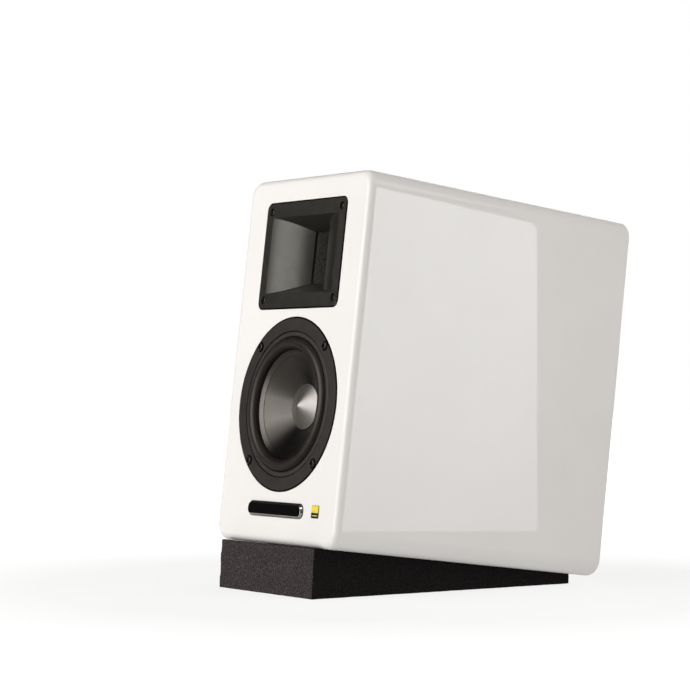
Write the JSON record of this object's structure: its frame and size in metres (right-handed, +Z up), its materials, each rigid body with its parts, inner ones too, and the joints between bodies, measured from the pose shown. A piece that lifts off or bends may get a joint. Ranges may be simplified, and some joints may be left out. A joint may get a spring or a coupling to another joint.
{
  "type": "bookshelf speaker",
  "caption": "Compact two-way powered speaker in gloss white with a rectangular horn tweeter, a metal-cone woofer, a display window and a tilting foam stand.",
  "frame": {"origin": "middle of the foam stand's underside, on the shelf", "axes": "+Z up, -Y out of the front where the drivers face, +X to the right seen from the front"},
  "size_m": [0.15, 0.2711, 0.2859],
  "materials": {
    "foam": "coarse matte foam",
    "white_lacquer": "gloss white lacquer on fibreboard",
    "fibreboard": "raw fibreboard",
    "wadding": "polyester wadding",
    "black_plastic": "matte moulded",
    "charcoal_plastic": "fine satin texture",
    "black_screws": "black oxide",
    "mesh": "black powder coat",
    "foil": "etched foil",
    "magnet": "zinc plated or sintered",
    "soft_steel": "zinc plated",
    "cast_frame": "satin charcoal paint",
    "trim": "satin",
    "rubber": "satin rubber",
    "cone_metal": "dark anodised",
    "cap_metal": "spun silver",
    "coil_tube": "amber film",
    "copper": "enamelled wire",
    "spider_cloth": "resin-dipped cloth",
    "window": "polished dark acrylic",
    "board": "green solder mask",
    "digits": "tinted epoxy",
    "badge": "two-tone enamel",
    "back_plate": "satin black powder coat",
    "heatsink": "clear anodised",
    "transformer": "laminated core and taped winding",
    "capacitors": "blue sleeve",
    "white_plastic": "natural nylon",
    "gold_plate": "gold plated",
    "red_insert": "moulded"
  },
  "bodies": {
    "stand": {"foam_stand": "foam"},
    "cabinet": {"front_baffle": "white_lacquer", "left_side_panel": "white_lacquer", "right_side_panel": "white_lacquer", "top_panel": "white_lacquer", "bottom_panel": "white_lacquer", "rear_panel": "white_lacquer", "window_brace": "fibreboard", "acoustic_wadding": "wadding", "port_tube": "black_plastic", "tweeter_horn": "charcoal_plastic", "horn_screws": "black_screws", "throat_mesh": "mesh", "pleated_foil": "foil", "foil_frame": "charcoal_plastic", "tweeter_magnets": "magnet", "tweeter_yoke": "soft_steel", "tweeter_back_cup": "black_plastic", "woofer_basket": "cast_frame", "woofer_screws": "black_screws", "woofer_gasket": "black_plastic", "woofer_trim_ring": "trim", "woofer_surround": "rubber", "woofer_spider": "spider_cloth", "woofer_top_plate": "soft_steel", "woofer_magnet": "magnet", "woofer_yoke": "soft_steel", "display_lens": "window", "display_board": "board", "display_digits": "digits", "badge_plate": "badge", "amp_panel": "back_plate", "amp_panel_screws": "black_screws", "amp_chamber": "black_plastic", "amp_board": "board", "amp_heatsink": "heatsink", "output_chips": "black_plastic", "power_transformer": "transformer", "filter_capacitors": "capacitors", "input_board": "board", "volume_encoder": "soft_steel", "tone_pots": "soft_steel", "rca_shells": "gold_plate", "rca_inserts": "red_insert", "optical_socket": "black_plastic", "usb_socket": "soft_steel", "link_socket": "black_plastic", "mains_inlet": "black_plastic", "switch_frame": "black_plastic"},
    "cone": {"woofer_cone": "cone_metal", "woofer_dust_cap": "cap_metal", "voice_coil_former": "coil_tube", "voice_coil_winding": "copper"},
    "push": {"push_sleeve": "white_plastic"},
    "volume": {"volume_shaft": "soft_steel", "volume_knob": "charcoal_plastic"},
    "bass": {"bass_knob": "charcoal_plastic"},
    "treble": {"treble_knob": "charcoal_plastic"},
    "rocker": {"power_rocker": "black_plastic"},
    "flap": {"optical_flap": "black_plastic"}
  },
  "joints": [
    {"name": "cabinet_lift_off", "type": "slide", "parent": "stand", "child": "cabinet", "axis": [0, 0.1227, 0.9924], "range_m": [0, 0.08]},
    {"name": "cone_travel", "type": "slide", "parent": "cabinet", "child": "cone", "axis": [0, -0.9924, 0.1227], "range_m": [-0.004, 0.004], "stiffness_N_per_m": 1200, "deforming": ["woofer_surround", "woofer_spider"]},
    {"name": "volume_press", "type": "slide", "parent": "cabinet", "child": "push", "axis": [0, -0.9924, 0.1227], "range_m": [0, 0.0005], "stiffness_N_per_m": 1000},
    {"name": "volume_turn", "type": "hinge", "parent": "push", "child": "volume", "pos_m": [-0.03, 0.14248, 0.15007], "axis": [0, 0.9924, -0.1227], "continuous": true},
    {"name": "bass_turn", "type": "hinge", "parent": "cabinet", "child": "bass", "pos_m": [0.006, 0.14248, 0.15007], "axis": [0, 0.9924, -0.1227], "range_deg": [-150, 150]},
    {"name": "treble_turn", "type": "hinge", "parent": "cabinet", "child": "treble", "pos_m": [0.032, 0.14248, 0.15007], "axis": [0, 0.9924, -0.1227], "range_deg": [-150, 150]},
    {"name": "power_rock", "type": "hinge", "parent": "cabinet", "child": "rocker", "pos_m": [0.03, 0.13021, 0.05082], "axis": [1, 0, 0], "range_deg": [0, 16]},
    {"name": "flap_swing", "type": "hinge", "parent": "cabinet", "child": "flap", "pos_m": [0.004, 0.13863, 0.11971], "axis": [-1, 0, 0], "range_deg": [0, 80], "stiffness_Nm_per_rad": 0.0006}
  ]
}
